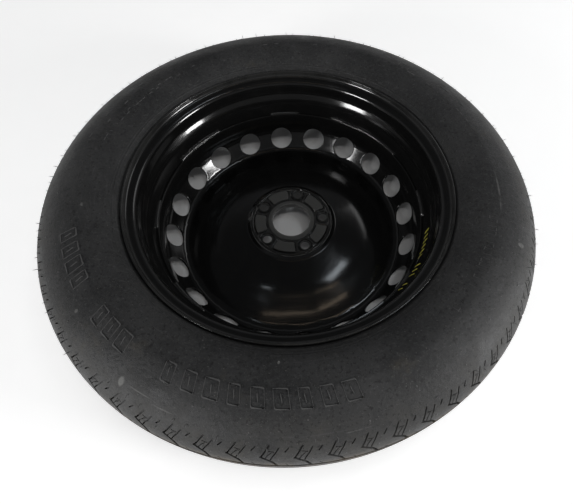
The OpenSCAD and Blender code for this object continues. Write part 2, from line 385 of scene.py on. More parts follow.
def add_hub(shape, profile):
    """The hub pad with its five bolt holes, between the dome and the collar."""
    s_low = profile.length_where(0, HUB_OUTER_R, 100)
    s = np.linspace(s_low, profile.length, 600)
    front_r, front_z = profile.at(s)
    back_r, back_z = profile.at(s, DISC_T)

    def front(r, angle):
        return polar(r, angle, np.interp(-r, -front_r, front_z) + hub_relief(r, angle))

    def back(r, angle):
        share = np.clip((HUB_OUTER_R - r) / (HUB_OUTER_R - HUB_INNER_R), 0, 1)
        moved_r = back_r[0] + (back_r[-1] - back_r[0]) * share
        return polar(moved_r, angle, np.interp(-moved_r, -back_r, back_z))

    angles = all_round()
    # Patches of finer sheet round the bolt holes leave their radii and angles out of the plain rings
    patch_low, patch_high = 41.4, 66.8
    first, last = 62.5, 90.5
    rows = np.concatenate([spaced(HUB_INNER_R, patch_low, 0.9), spaced(patch_low, patch_high, 0.8)[1:],
                           spaced(patch_high, HUB_OUTER_R, 0.8)[1:]])
    back_rows = np.array([HUB_INNER_R, patch_low, 46, 50, 54, 58, 62.5, patch_high, 72, 77, HUB_OUTER_R])
    inside_patch = np.zeros(len(angles), bool)
    for i in range(BOLT_COUNT):
        turned = (np.degrees(angles) - first - BOLT_PITCH * i) % 360
        inside_patch |= turned < last - first - 0.01
    for radii_used, place in ((rows, front), (back_rows, back)):
        for low, high in zip(radii_used[:-1], radii_used[1:]):
            in_band = patch_low - 0.01 < low and high < patch_high + 0.01
            points = np.concatenate([place(np.full(SEGMENTS, r), angles) for r in (low, high)])
            quads = [(j, (j + 1) % SEGMENTS, SEGMENTS + (j + 1) % SEGMENTS, SEGMENTS + j)
                     for j in range(SEGMENTS) if not (in_band and inside_patch[j])]
            shape.add(points, quads)
    patch_rows, patch_back = ([r for r in radii if patch_low - 0.01 < r < patch_high + 0.01]
                              for radii in (rows, back_rows))
    for i in range(BOLT_COUNT):
        turn = BOLT_PITCH * i
        span = (BOLT_PHASE + turn, first + turn, last + turn)
        add_bolt_patch(shape, front, back, *span, patch_rows, patch_back)
    return s_low


def add_bolt_patch(shape, front, back, middle, first, last, rows, back_rows):
    """The sheet round one bolt hole, with its cone seat on the far face."""
    up = np.array([0, 0, 1.0])
    centre = polar(BOLT_CIRCLE_R, math.radians(middle), 0.0)
    per_degree = BOLT_CIRCLE_R * math.pi / 180
    hole = np.array([BOLT_CIRCLE_R, middle * per_degree])

    def face(place, radii, radius, side, shares):
        def flat(uv):
            return place(uv[:, 0], np.radians(uv[:, 1] / per_degree))
        outer = rectangle_outline(radii[0], radii[-1], np.array(radii), first * per_degree, last * per_degree,
                                  round(last - first))
        return face_round_hole(shape, flat, hole, outer, centre, side * up, radius, shares, 0.6)

    front_lip, outward = face(front, rows, BOLT_R, 1,
                              (0, 0.07, 0.14, 0.2, 0.26, 0.33, 0.41, 0.5, 0.62, 0.76, 0.88, 1))
    back_lip, _ = face(back, back_rows, SEAT_R, -1, (0, 0.3, 1))
    # The far face has fewer points round its outline, so the wall ends in the directions of the near face
    neck = centre + outward * BOLT_R - up * 3.8
    seat = centre + outward * (SEAT_R - 0.1) - up * 5.2
    shape.grid(front_lip + [neck, seat], wrap=True)
    stitch_rings(shape, seat, back_lip[-1], centre)


def stitch_rings(shape, a, b, centre):
    """Triangles between two rings of points with different counts, both seen round centre."""
    def by_angle(ring):
        angle = np.arctan2(ring[:, 1] - centre[1], ring[:, 0] - centre[0])
        order = np.argsort(angle)
        return ring[order], angle[order]

    a, angle_a = by_angle(a)
    b, angle_b = by_angle(b)
    points = np.concatenate([a, b])
    faces = []
    i = j = 0
    n, m = len(a), len(b)
    while i < n or j < m:
        next_a = angle_a[i + 1] if i + 1 < n else (angle_a[0] + 2 * math.pi if i < n else math.inf)
        next_b = angle_b[j + 1] if j + 1 < m else (angle_b[0] + 2 * math.pi if j < m else math.inf)
        if next_a <= next_b and i < n:
            faces.append((i % n, (i + 1) % n, n + j % m))
            i += 1
        else:
            faces.append((i % n, n + (j + 1) % m, n + j % m))
            j += 1
    shape.add(points, faces)


def build_disc(material):
    profile = disc_profile()
    angles = all_round()
    shape = Shape()
    s_top, edge = 26.2, 0.9
    s_low = profile.length_where(0, 173, 60)
    top = spaced(edge, s_top, 5)
    cap = rounded_edge(profile, DISC_T, False, edge)
    lathe(shape, np.concatenate([profile.points(top[::-1]), cap, profile.points(top, DISC_T)]), angles)
    add_vents(shape, profile, s_top, s_low)
    s_hub = add_hub(shape, profile)
    dome = turning_steps(profile, s_low, s_hub, 5, 0.06)
    lathe(shape, profile.points(dome), angles)
    lathe(shape, profile.points(dome, DISC_T), angles)
    lathe(shape, rounded([(HUB_INNER_R, PAD_TOP), (38.3, 0, 0.6), (BORE_R, 0, 0.6), (BORE_R, -9, 0.5),
                          (35.2, -9, 0.6), (HUB_INNER_R, PAD_TOP - DISC_T)], 0.3), angles)
    return shape.build("wheel_disc_sheet", material, sharp=50)


# Welds along the disc's edge

# First and last angle of each bead
WELD_ARCS = [(-7, 7), (29, 53.5), (60.5, 67.5), (84, 98), (125, 150), (173, 187.5), (215, 233), (262, 280),
             (307, 325)]


def build_welds(material):
    """Rippled beads with blunt ends, in the corner between the disc's edge and the barrel."""
    random = np.random.default_rng(RANDOM_SEED)
    shape = Shape()
    lean_r, lean_z = math.sin(WALL_LEAN), math.cos(WALL_LEAN)
    well_r, top_z = DISC_LIP[0] + DISC_T * lean_z, DISC_LIP[1] - DISC_T * lean_r
    for first, last in WELD_ARCS:
        length = math.radians(last - first) * well_r
        n = int(length / 0.55)
        t = np.linspace(0, 1, n + 1)
        along = t * length
        ends = np.sqrt(np.clip(np.minimum(along, length - along) / 2.6, 0.0004, 1))
        wander = np.interp(along, np.linspace(0, length, 9), random.uniform(-0.18, 0.22, 9))
        rows = []
        for k in range(13):
            turn = math.radians(90 + 90 * k / 12)
            lag = 1.6 * math.sin(math.radians(180 * k / 12))
            ripple = 0.34 * np.abs(np.sin((along - lag) * math.pi / 2.7)) - 0.2
            size = ends * (1 + 0.1 * wander)
            across = (3.3 + wander + ripple) * math.cos(turn) * size
            up = (3.6 + wander + ripple) * math.sin(turn) * size
            rows.append(polar(well_r + across * lean_z + up * lean_r, np.radians(first + (last - first) * t),
                              top_z - across * lean_r + up * lean_z))
        corner = polar(well_r, np.radians(first + (last - first) * t), np.full(n + 1, top_z - 0.1))
        shape.grid([corner] + rows + [corner])
    return shape.build("disc_weld_beads", material, sharp=60)


# Tyre section

BEAD_TOE_R = 249


def crown_point(turn, r_top=TYRE_R, half_w=TYRE_HALF_W):
    c = np.cos(np.radians(turn))
    s = np.sin(np.radians(turn))
    return np.stack([TYRE_WIDE_R + (r_top - TYRE_WIDE_R) * np.clip(c, 0, 1) ** 1.48,
                     half_w * np.clip(s, 0, 1) ** (2 / 3.1)], -1)


def side_wall(r):
    """Half width of the side wall at radius r, inside its widest ring."""
    return TYRE_HALF_W - SIDE_ARC_R + np.sqrt(SIDE_ARC_R**2 - (r - TYRE_WIDE_R) ** 2)


def tyre_profile():
    """The outer face of one half of the tyre as a path of (r, half width), from the crown to the bead."""
    r = np.arange(TYRE_WIDE_R - 0.5, BEAD_TOE_R, -0.5)
    wall = np.stack([r, side_wall(r)], -1)
    return Profile(np.concatenate([crown_point(np.linspace(0, 90, 400)), wall]), 0.4)


section = tyre_profile()
TREAD_EDGE_S = 66.0
WALL_SINK = 1.0


def section_at(s, lift=0.0):
    """(r, half width) at length s from the crown, raised by lift."""
    return section.at(s, -lift)


def wall_rings(r):
    """Height of the fine moulded rings at radius r: three near the flange and a faint one by the shoulder."""
    rings = ((256.8, 0.45, 0.5), (260.2, 0.25, 0.5), (332.0, 0.12, 0.8), (251.5, 0.35, 0.6))
    return sum(h * np.exp(-((r - at) / width) ** 2) for at, h, width in rings)


def wall_length(r):
    """Length along the tyre's half section where its radius is r."""
    return np.interp(-np.asarray(r, float), -section.path[:, 0], section.s)


def wall_place(r, degrees, lift):
    """Points on the upper side wall, at radius r and an angle, raised by lift."""
    s = wall_length(r)
    radius, x = section_at(s)
    above, x_above = section_at(s, 1.0)
    lift = np.asarray(lift, float)
    return polar(radius + (above - radius) * lift, np.radians(degrees),
                 RIM_MID_Z + settled(radius, x) + (x_above - x) * lift)


def settled(r, x):
    """Half width of the upper side, let down a little so that its raised marks stay inside the CAD's box."""
    return x - WALL_SINK * smooth_step((r - 262) / 24) * np.clip(x / 60, 0, 1)


def bead_path():
    return rounded([(BEAD_TOE_R, 60.4), (244.2, 50.5, 5), (231.45, 50.5, 7), (230.4, 36, 1.5),
                    (232.6, 34.5, 1.5), (243, 46, 14), (262, 64, 22), (292, 73)], 1.5)


def inner_crown():
    turn = np.linspace(90, 0, 15)
    return crown_point(turn, TYRE_R - 14, TYRE_HALF_W - 6)


def add_casing(shape):
    """Both side walls, the beads and the inside of the tyre."""
    angles = all_round(5 * PITCHES, 0.1)
    ringed_s = wall_length(265)
    for side in (1, -1):
        s = np.concatenate([turning_steps(section, TREAD_EDGE_S, ringed_s, 4.2, 0.09),
                            spaced(ringed_s, section.length, 0.55)[1:]])
        r, x = section_at(s, wall_rings(section_at(s)[0]))
        outer = np.stack([r, settled(r, x) if side > 0 else x], -1)
        path = np.concatenate([outer, bead_path(), inner_crown()])
        lathe(shape, [(r, RIM_MID_Z + side * x) for r, x in path], angles)


# Tread: one pitch as a flat pattern, cut into triangles and laid round the crown

MM_PER_DEGREE = 6.56
PITCH_DEGREES = 360 / PITCHES
CELL_LOW = -0.5
CELL_HIGH = CELL_LOW + PITCH_DEGREES
CELL_PHASE = 4.6
GROOVES = (-22, 0, 22)
GROOVE_HALF_W = 3
GROOVE_DEPTH = 5.0


def stroke(points, width):
    """Outline of a straight or bent band through points (length across, degrees)."""
    line = np.array([(w, a * MM_PER_DEGREE) for w, a in points], float)
    left, right = [], []
    for k in range(len(line)):
        before = unit(line[k] - line[k - 1]) if k else unit(line[1] - line[0])
        after = unit(line[k + 1] - line[k]) if k + 1 < len(line) else before
        normal = unit(np.array([-(before + after)[1], (before + after)[0]]))
        reach = width / 2 / max(0.5, float(normal @ np.array([-after[1], after[0]])))
        left.append(line[k] + normal * reach)
        right.append(line[k] - normal * reach)
    return np.array(left + right[::-1])


def shoulder_outlines():
    """Cuts in one pitch of the upper shoulder, each with its depth."""
    return [
        (stroke([(24.5, 3.0), (35.2, 2.2), (44.8, 0.0)], 3.2), 5.2),
        (stroke([(44.4, 0.25), (52, 0.85), (62.3, 1.7)], 1.9), 3.6),
        (stroke([(39.2, 1.85), (45.5, 2.25), (51, 2.75), (59.6, 3.45)], 1.6), 2.8),
        (stroke([(41.6, 0.95), (47.0, 1.35), (52.6, 2.15)], 1.1), 1.6),
        (stroke([(54.4, 1.5), (53.2, 2.55)], 1.0), 1.2),
        (stroke([(53.2, 4.45), (59.6, 5.2)], 1.6), 2.4),
        (stroke([(25.5, 5.0), (31.5, 4.5)], 1.0), 3.0),
    ]


def rib_outlines():
    """Short cuts in the two middle ribs."""
    return [(stroke([(9.0, 1.2), (13.5, 2.0)], 1.1), 3.0), (stroke([(7.5, 4.1), (3.5, 3.5)], 1.1), 3.0)]


def tread_cell():
    """Triangles of one pitch: points, each with its depth, as (length across, mm round, depth) and faces."""
    cuts = []
    for outline, depth in shoulder_outlines() + rib_outlines():
        cuts.append((outline, depth))
        mirrored = np.stack([-outline[:, 0], (CELL_LOW + CELL_HIGH) * MM_PER_DEGREE - outline[:, 1]], 1)
        cuts.append((mirrored, depth))
    low, high = CELL_LOW * MM_PER_DEGREE, CELL_HIGH * MM_PER_DEGREE
    for middle in GROOVES:
        left, right = middle - GROOVE_HALF_W, middle + GROOVE_HALF_W
        cuts.append((np.array([(left, low), (right, low), (right, high), (left, high)]), GROOVE_DEPTH))
    edge = TREAD_EDGE_S
    across = sorted(set([-edge, edge] + [m + k for m in GROOVES for k in (-GROOVE_HALF_W, GROOVE_HALF_W)]
                        + [x for x in np.arange(-60, 61, 6.0) if min(abs(x - m) for m in GROOVES) > 4.2]))
    round_steps = np.linspace(low, high, 6)
    points, edges = [], []

    def loop(corners):
        start = len(points)
        points.extend(corners)
        edges.extend((start + k, start + (k + 1) % len(corners)) for k in range(len(corners)))

    boundary = [(x, low) for x in across[:-1]] + [(edge, y) for y in round_steps[:-1]]
    boundary += [(x, high) for x in across[:0:-1]] + [(-edge, y) for y in round_steps[:0:-1]]
    loop(boundary)
    for outline, _ in cuts:
        loop([tuple(p) for p in outline])
    taken = np.array(points, float)
    for x in across[1:-1]:
        for y in round_steps[1:-1]:
            if np.hypot(taken[:, 0] - x, taken[:, 1] - y).min() > 1.6:
                points.append((x, y))
    found = delaunay_2d_cdt([Vector(p) for p in points], edges, [], 0, 1e-4)
    flat = np.array([tuple(p) for p in found[0]])
    triangles = [tuple(f) for f in found[2]]
    depths = [max([d for outline, d in cuts if inside(flat[list(t)].mean(0), outline)], default=0.0)
              for t in triangles]
    return terraced(flat, triangles, depths)


def inside(point, outline):
    """Whether a flat point lies in a closed outline."""
    x, y = point
    a, b = outline, np.roll(outline, -1, axis=0)
    crosses = (a[:, 1] > y) != (b[:, 1] > y)
    with np.errstate(divide="ignore", invalid="ignore"):
        at = a[:, 0] + (y - a[:, 1]) * (b[:, 0] - a[:, 0]) / (b[:, 1] - a[:, 1])
    return bool(np.count_nonzero(crosses & (x < at)) % 2)


def terraced(flat, triangles, depths):
    """Puts each triangle at its depth and adds the walls between triangles of different depth."""
    index, points, faces, border = {}, [], [], {}

    def vertex(i, depth):
        key = (i, depth)
        if key not in index:
            index[key] = len(points)
            points.append((flat[i][0], flat[i][1], depth))
        return index[key]

    for triangle, depth in zip(triangles, depths):
        faces.append(tuple(vertex(i, depth) for i in triangle))
        for k in range(3):
            i, j = triangle[k], triangle[(k + 1) % 3]
            border.setdefault((min(i, j), max(i, j)), []).append(depth)
    for (i, j), both in border.items():
        if len(both) == 2 and both[0] != both[1]:
            a, b = both
            faces.append((vertex(i, a), vertex(j, a), vertex(j, b), vertex(i, b)))
    return np.array(points), faces


def add_tread(shape):
    points, faces = tread_cell()
    across, round_mm, depth = points.T
    taper = smooth_step((TREAD_EDGE_S - np.abs(across)) / 12)
    r, x = section_at(np.abs(across), -depth * (0.35 + 0.65 * taper))
    x = np.where(across > 0, settled(r, x), -x)
    for i in range(PITCHES):
        angle = np.radians(CELL_PHASE + PITCH_DEGREES * i + round_mm / MM_PER_DEGREE)
        shape.add(polar(r, angle, RIM_MID_Z + x), faces)


def build_tyre(material):
    shape = Shape()
    add_casing(shape)
    add_tread(shape)
    return shape.build("tyre_casing", material, sharp=42)


# Raised marks on the side wall: plain bars and dashes, vent nubs and hairs

def ribbon(shape, path, width, height, closed=False):
    """A raised band with a flat top along a path of (r, degrees) on the side wall."""
    path = np.asarray(path, float)
    flat = np.stack([path[:, 0], np.radians(path[:, 1]) * path[:, 0]], 1)
    count = len(flat)
    ahead = np.roll(flat, -1, axis=0) - flat
    behind = flat - np.roll(flat, 1, axis=0)
    if not closed:
        ahead[-1], behind[0] = behind[-1], ahead[0]
    ahead, behind = unit(ahead), unit(behind)
    tangent = unit(ahead + behind)
    side = np.stack([-tangent[:, 1], tangent[:, 0]], 1)
    ahead_side = np.stack([-ahead[:, 1], ahead[:, 0]], 1)
    reach = 1 / np.clip((side * ahead_side).sum(1), 0.5, 1)
    rows = []
    for share, lift in ((-0.5, -0.15), (-0.38, height), (0.38, height), (0.5, -0.15)):
        moved = flat + side * (reach * width * share)[:, None]
        rows.append(wall_place(moved[:, 0], np.degrees(moved[:, 1] / path[:, 0]), np.full(count, lift)))
    rows.append(rows[0])
    if closed:
        shape.grid(rows, wrap=True)
        return
    shape.grid(rows)
    ends = np.concatenate([[row[0] for row in rows[:4]], [row[-1] for row in rows[:4]]])
    shape.add(ends, [(0, 1, 2, 3), (4, 5, 6, 7)])


def bar_outline(r_low, r_high, degrees, width, slant):
    """Corners of a slanted bar, rounded a little, as (r, degrees)."""
    per_degree = (r_low + r_high) / 2 * math.pi / 180
    half = width / 2
    corners = np.array([(r_low, -slant / 2 - half), (r_high, slant / 2 - half), (r_high, slant / 2 + half),
                        (r_low, -slant / 2 + half)])
    out = []
    for k in range(4):
        before, here, after = corners[k - 1], corners[k], corners[(k + 1) % 4]
        for a, b in ((before, here), (after, here)):
            out.append(b + unit(a - b) * min(1.6, np.linalg.norm(a - b) / 3))
        middle = (out[-1] + out[-2]) / 2
        out.insert(-1, middle + (here - middle) * 0.35)
    path = np.array(out)
    return [(r, degrees + mm / per_degree) for r, mm in path]


BAR_RADII = (300.2, 321.8)
BAR_SLANT = 3.0
# First and last angle and number of the bars in each row
BAR_GROUPS = [(193.6, 211.2, 4), (218.2, 231.0, 3), (239.2, 283.6, 9)]


def add_bars(shape):
    """Three rows of raised outlined bars on the near side of the wall, each with a short line inside."""
    for first, last, count in BAR_GROUPS:
        pitch = (last - first) / count
        for k in range(count):
            middle = first + pitch * (k + 0.5)
            outline = bar_outline(*BAR_RADII, middle, 13.5 + 2 * (k % 3), BAR_SLANT)
            ribbon(shape, outline, 1.9, 1.0, closed=True)
            ribbon(shape, [(306.5, middle - 0.2), (315.5, middle + 0.2)], 2.6, 0.8)


# Low and high radius, first and last angle, pitch in degrees and height of each patch of dashes
DASH_PATCHES = [
    (289.5, 299.5, 320.5, 345.0, 1.3, 0.62), (290.5, 297.5, 310.8, 316.8, 1.5, 0.5),
    (303.5, 320.0, 378.0, 386.5, 1.7, 0.6), (303.5, 320.0, 390.0, 397.5, 1.7, 0.6),
    (303.5, 320.0, 403.0, 410.0, 1.7, 0.6), (300.0, 318.0, 428.0, 436.0, 1.7, 0.6),
    (300.0, 318.0, 438.5, 459.0, 1.9, 0.6), (305.0, 318.0, 484.0, 500.0, 2.1, 0.6),
    (305.0, 318.0, 505.0, 524.0, 2.1, 0.6), (288.5, 292.5, 482.0, 524.0, 1.5, 0.5)]


def add_dashes(shape):
    """Patches of short raised dashes with small cross dashes at their ends."""
    random = np.random.default_rng(RANDOM_SEED)
    for low, high, first, last, pitch, height in DASH_PATCHES:
        for angle in np.arange(first, last, pitch):
            lean = random.uniform(-0.35, 0.35)
            ends = sorted(random.uniform(low, high, 2)) if random.random() < 0.35 else (low, high)
            if ends[1] - ends[0] > 2.5:
                ribbon(shape, [(ends[0], angle), (ends[1], angle + lean)], 1.2, height)
            if random.random() < 0.45:
                r = random.choice([low, high])
                ribbon(shape, [(r, angle), (r, angle + pitch * 0.7)], 1.2, height)


def add_nub(shape, r, degrees, radius, height, corners=12):
    """A small round moulded nub."""
    turn = np.linspace(0, 2 * math.pi, corners, endpoint=False)
    out, along = radius * np.cos(turn), np.degrees(radius * np.sin(turn) / r)
    levels = ((1, -0.1), (0.8, height * 0.7), (0.45, height), (0.02, height))
    shape.grid([wall_place(r + out * share, degrees + along * share, np.full(corners, lift))
                for share, lift in levels], wrap=True)


def add_nubs(shape):
    """Two rings of 16 nubs, one by each tread pitch and a few stray ones."""
    for k in range(16):
        add_nub(shape, 333, 204 + 22.5 * k, 1.2, 0.7)
        add_nub(shape, 346, 215.5 + 22.5 * k, 1.1, 0.6)
    for k in range(PITCHES):
        add_nub(shape, 369.6, CELL_PHASE + 3.35 + PITCH_DEGREES * k, 0.9, 0.35)
    for r, degrees in ((292, 187.4), (268, 265.3), (262, 244.5), (270, 246.0), (283, 300.5), (256, 318.0)):
        add_nub(shape, r, degrees, 0.9, 0.5)


def add_hairs(shape):
    """Thin vent hairs that stand out from the tread's shoulders, inside the tyre's outer ring."""
    random = np.random.default_rng(RANDOM_SEED + 4)
    turn = np.linspace(0, 2 * math.pi, 5, endpoint=False)
    for k in range(2 * PITCHES):
        degrees = 3 * k + random.uniform(-1.0, 1.0)
        r = random.uniform(352, 368)
        radius, x = section_at(wall_length(r))
        length = min(random.uniform(2.0, 6.5), TYRE_R - 0.4 - radius)
        lean = random.uniform(-0.25, 0.6)
        rows = []
        for share, thick in ((-0.1, 0.55), (0.6, 0.4), (1.0, 0.2)):
            out = radius + length * share
            up = x + lean * length * share
            rows.append(polar(out, np.radians(degrees) + thick * np.cos(turn) / radius,
                              RIM_MID_Z + np.minimum(up + thick * np.sin(turn), TYRE_HALF_W)))
        rows.append(np.repeat(rows[-1].mean(0, keepdims=True), len(turn), 0))
        shape.grid(rows, wrap=True)


def build_marks(material):
    shape = Shape()
    add_hairs(shape)
    add_bars(shape)
    add_dashes(shape)
    add_nubs(shape)
    return shape.build("tyre_side_marks", material, sharp=30)


# Strokes of yellow paint on the barrel

STROKE_LIFT = 0.12
STROKE_RING_R = 218.0
# First angle, count, middle height and length of each row of strokes
STROKE_GROUPS = [(-16.8, 6, 53.0, 14.0), (-34.6, 3, 61.0, 12.0), (-44.6, 2, 63.0, 9.0)]
STROKE_STEP = 2.5
STROKE_SLANT = 0.8


def build_paint_strokes():
    """Rows of short plain strokes that lie flat on the barrel's wall."""
    profile = rim_profile()
    shape = Shape()
    upper = slice(0, int(np.argmax(profile.path[:, 1] < RIM_MID_Z - 20)))
    strokes = [(start - k * STROKE_STEP, mid_z, length - 1.5 * (k % 2), 2.3 - 0.2 * (k % 3))
               for start, count, mid_z, length in STROKE_GROUPS for k in range(count)]
    for first, mid_z, length, width in strokes:
        t = np.linspace(0, 1, 14)
        s = np.interp(length * (t - 0.5) - mid_z, -profile.path[upper, 1], profile.s[upper])
        round_wall = np.radians(first - STROKE_SLANT * t) * STROKE_RING_R
        tangent = unit(np.array([s[-1] - s[0], round_wall[-1] - round_wall[0]]))
        taper = width * np.sqrt(np.clip(np.minimum(t, 1 - t) * 8, 0.15, 1))
        rows = []
        for side, lift in ((-0.5, 0.02), (-0.35, -STROKE_LIFT), (0.35, -STROKE_LIFT), (0.5, 0.02)):
            moved_s = s - tangent[1] * side * taper
            moved_round = round_wall + tangent[0] * side * taper
            r, z = profile.at(moved_s, lift)
            rows.append(polar(r, moved_round / STROKE_RING_R, z))
        shape.grid(rows + rows[:1])
    n = Nodes("marker_paint")
    patchy = n.ramp(n.noise(500, 4, 0.6), 0.35, 0.62)
    n.shade(Base_Color=n.mix(patchy, colour(0.5, 0.46, 0.05), colour(0.92, 0.84, 0.12)), Roughness=0.5,
            Normal=n.bump(n.noise(900, 2, 0.5), 0.00003))
    return shape.build("barrel_paint_strokes", n.material, weld=0.0001)


# Materials

class Nodes:
    """A new material's node tree with short ways to add and join nodes."""

    def __init__(self, name):
        self.material = bpy.data.materials.new(name)
        self.material.use_nodes = True
        self.tree = self.material.node_tree
        self.shader = self.tree.nodes["Principled BSDF"]

    def node(self, kind, **settings):
        node = self.tree.nodes.new(kind)
        for key, value in settings.items():
            if key in node.inputs:
                self.put(node.inputs[key], value)
            else:
                setattr(node, key, value)
        return node

    def put(self, socket, value):
        if isinstance(value, bpy.types.NodeSocket):
            self.tree.links.new(value, socket)
        else:
            socket.default_value = value

    def fill(self, node, values):
        for key, value in values.items():
            self.put(node.inputs[key], value)

    def shade(self, **values):
        self.fill(self.shader, {key.replace("_", " "): value for key, value in values.items()})

    def place(self):
        return self.node("ShaderNodeNewGeometry").outputs["Position"]

    def noise(self, scale, detail=4.0, roughness=0.55, stretch=None):
        vector = self.place()
        if stretch:
            vector = self.node("ShaderNodeMapping", Vector=vector, Scale=stretch).outputs["Vector"]
        return self.node("ShaderNodeTexNoise", Vector=vector, Scale=scale, Detail=detail,
                         Roughness=roughness).outputs["Fac"]

    def ramp(self, value, low, high, out_low=0.0, out_high=1.0):
        node = self.node("ShaderNodeMapRange", interpolation_type="SMOOTHSTEP")
        self.fill(node, {"Value": value, "From Min": low, "From Max": high,
                         "To Min": out_low, "To Max": out_high})
        return node.outputs["Result"]

    def math(self, operation, a, b=0.0):
        node = self.node("ShaderNodeMath", operation=operation)
        self.fill(node, {0: a, 1: b})
        return node.outputs[0]

    def times(self, a, b):
        return self.math("MULTIPLY", a, b)

    def mix(self, share, a, b):
        """A colour between a and b. The node's colour sockets are found by number, as its names repeat."""
        node = self.node("ShaderNodeMix", data_type="RGBA")
        self.fill(node, {"Factor": share, 6: a, 7: b})
        return node.outputs[2]

    def cover(self, below, layers):
        """Colours laid over each other, each layer as (where, strength, colour)."""
        for where, strength, tint in layers:
            share = where if strength == 1 else self.times(where, strength)
            below = self.mix(share, below, colour(*tint))
        return below

    def bump(self, height, distance, strength=1.0, normal=None):
        node = self.node("ShaderNodeBump", Height=height, Distance=distance, Strength=strength)
        if normal is not None:
            self.put(node.inputs["Normal"], normal)
        return node.outputs["Normal"]

    def ring_streaks(self, radius, angle):
        """Noise drawn out round the wheel's axis, like the marks of spinning."""
        join = self.node("ShaderNodeCombineXYZ", X=self.times(radius, 420.0), Y=self.times(angle, 2.2))
        return self.node("ShaderNodeTexNoise", Vector=join.outputs[0], Scale=1.0, Detail=5.0,
                         Roughness=0.6).outputs["Fac"]

    def scuffs(self, radius, angle, breakup):
        """Pale rubbed marks on the side wall, each at its radius and angle and with its half sizes."""
        total = 0.0
        for r, degrees, half_r, half_degrees, strength in SCUFFS:
            turned = math.radians((degrees + 180) % 360 - 180)
            away_r = self.math("DIVIDE", self.math("SUBTRACT", radius, r * MM), half_r * MM)
            away_a = self.math("DIVIDE", self.math("SUBTRACT", angle, turned), math.radians(half_degrees))
            square = self.math("ADD", self.times(away_r, away_r), self.times(away_a, away_a))
            total = self.math("MAXIMUM", self.ramp(square, 0.3, 1.0, strength, 0.0), total)
        return self.times(total, self.ramp(breakup, 0.4, 0.56))

    def polar_place(self):
        """Radius, angle in radians and height of the shaded point, in metres."""
        x, y, z = self.node("ShaderNodeSeparateXYZ", Vector=self.place()).outputs
        radius = self.math("SQRT", self.math("ADD", self.times(x, x), self.times(y, y)))
        return radius, self.math("ARCTAN2", y, x), z


# Radius, angle, half width, half angle and strength of the pale scuffs on the upper side wall
SCUFFS = [(345, 233.6, 6.5, 0.75, 0.6), (331, 215.3, 3, 0.5, 0.4), (351.5, 280.5, 0.7, 3.4, 0.4),
          (338, 338, 6, 0.7, 0.5), (341.5, 343, 4, 0.6, 0.5), (304.5, 352.5, 1.6, 8.5, 0.3),
          (293, 187, 2, 0.6, 0.7), (270, 265.3, 2.4, 0.4, 0.6), (344, 238, 0.8, 3.2, 0.3),
          (348, 243.5, 0.8, 2.6, 0.3), (350, 160, 9, 7, 0.12), (335, 128, 7, 6, 0.1)]


def colour(r, g=None, b=None):
    g = r if g is None else g
    b = r if b is None else b
    return (r, g, b, 1.0)


# Height in metres by which the outer slope of the dome bulges between its two bends
DOME_BULGE = 0.0005


def black_paint(name, base=0.005, bumpy=1.0):
    """Dipped gloss black paint with a light orange peel, fine dust, a lighter band high on the upper flange
    and a rubbed hub pad, with painted shade in the pad's grooves and painted highlights on its edges.
    """
    n = Nodes(name)
    radius, angle, z = n.polar_place()
    # Rubbed, lighter raised faces of the hub pad, with painted shade that keeps its grooves black
    rubbed = pad_wear_and_groove_shade(n, radius, z)
    rubbed_grain = n.ramp(n.noise(1500, 3, 0.6), 0.3, 0.7, 0.65, 1.0)
    # A lighter, patchy band high on the upper flange, from 93.5 mm up
    upper_flange_lighter = n.times(n.ramp(z, 0.0935, 0.1, 0.0, 0.5), n.ramp(n.noise(24, 5, 0.6), 0.3, 0.6, 0.4, 1.0))
    tone = n.cover(colour(base), [
        (n.ramp(n.noise(55, 6, 0.65), 0.45, 0.8), 0.25, (0.018, 0.017, 0.016)),
        (n.ramp(n.noise(900, 2, 0.5), 0.7, 0.78), 0.35, (0.05, 0.047, 0.042)),
        (n.times(rubbed, rubbed_grain), 1, (0.085, 0.085, 0.082)),
        # Worn paint and painted highlights along the hub pad's edges
        (edge_wear_and_highlight(n, radius), 0.7, (0.2, 0.2, 0.195)),
        (upper_flange_lighter, 1, (0.05, 0.05, 0.049))])
    streaks = n.ring_streaks(radius, angle)
    peel = n.bump(n.noise(240, 3, 0.5), 0.00004 * bumpy)
    waves = n.bump(n.noise(38, 2, 0.45), 0.00025 * bumpy, normal=peel)
    brushed = n.bump(streaks, 0.000012, normal=waves)
    across = n.ramp(radius, 0.133, 0.185, -1.0, 1.0)
    bulge = n.math("SUBTRACT", 1.0, n.times(across, across))
    rough = n.ramp(streaks, 0.2, 0.8, 0.1, 0.2)
    n.shade(Base_Color=tone, Roughness=n.math("MAXIMUM", rough, n.times(rubbed, 0.36)),
            Normal=n.bump(bulge, DOME_BULGE, normal=brushed), IOR=1.5, Coat_Weight=0.5, Coat_Roughness=0.1,
            Coat_Normal=n.bump(bulge, DOME_BULGE))
    return n.material


def pad_wear_and_groove_shade(n, radius, z):
    """Where the hub pad's raised faces and edge are rubbed dull and lighter. The mask falls with height, a
    painted shade that leaves the grooves black.
    """
    ring = n.times(n.ramp(radius, 0.0615, 0.063, 1.0, 0.25), n.ramp(radius, 0.068, 0.070, 1.0, 0.0))
    # Lighter the higher the face: painted shade in the grooves and on the lower faces
    faces = n.math("ADD", n.ramp(z, -0.0028, -0.0021, 0.0, 0.3), n.ramp(z, -0.0016, -0.0004, 0.0, 0.7))
    return n.times(ring, faces)


# Radius and half width of the hub pad's edges that are lighter in broken rings: worn paint and a painted
# highlight where the edges catch the light
EDGE_WEAR_AND_HIGHLIGHT_RINGS = [(68.9, 0.7), (63.6, 0.5), (33.0, 0.9), (39.0, 0.6)]


def edge_wear_and_highlight(n, radius):
    lines = 0.0
    for at, half in EDGE_WEAR_AND_HIGHLIGHT_RINGS:
        away = n.math("ABSOLUTE", n.math("SUBTRACT", radius, at * MM))
        lines = n.math("MAXIMUM", n.ramp(away, 0.0, half * MM, 1.0, 0.0), lines)
    return n.times(lines, n.ramp(n.noise(60, 4, 0.6), 0.35, 0.6, 0.25, 1.0))


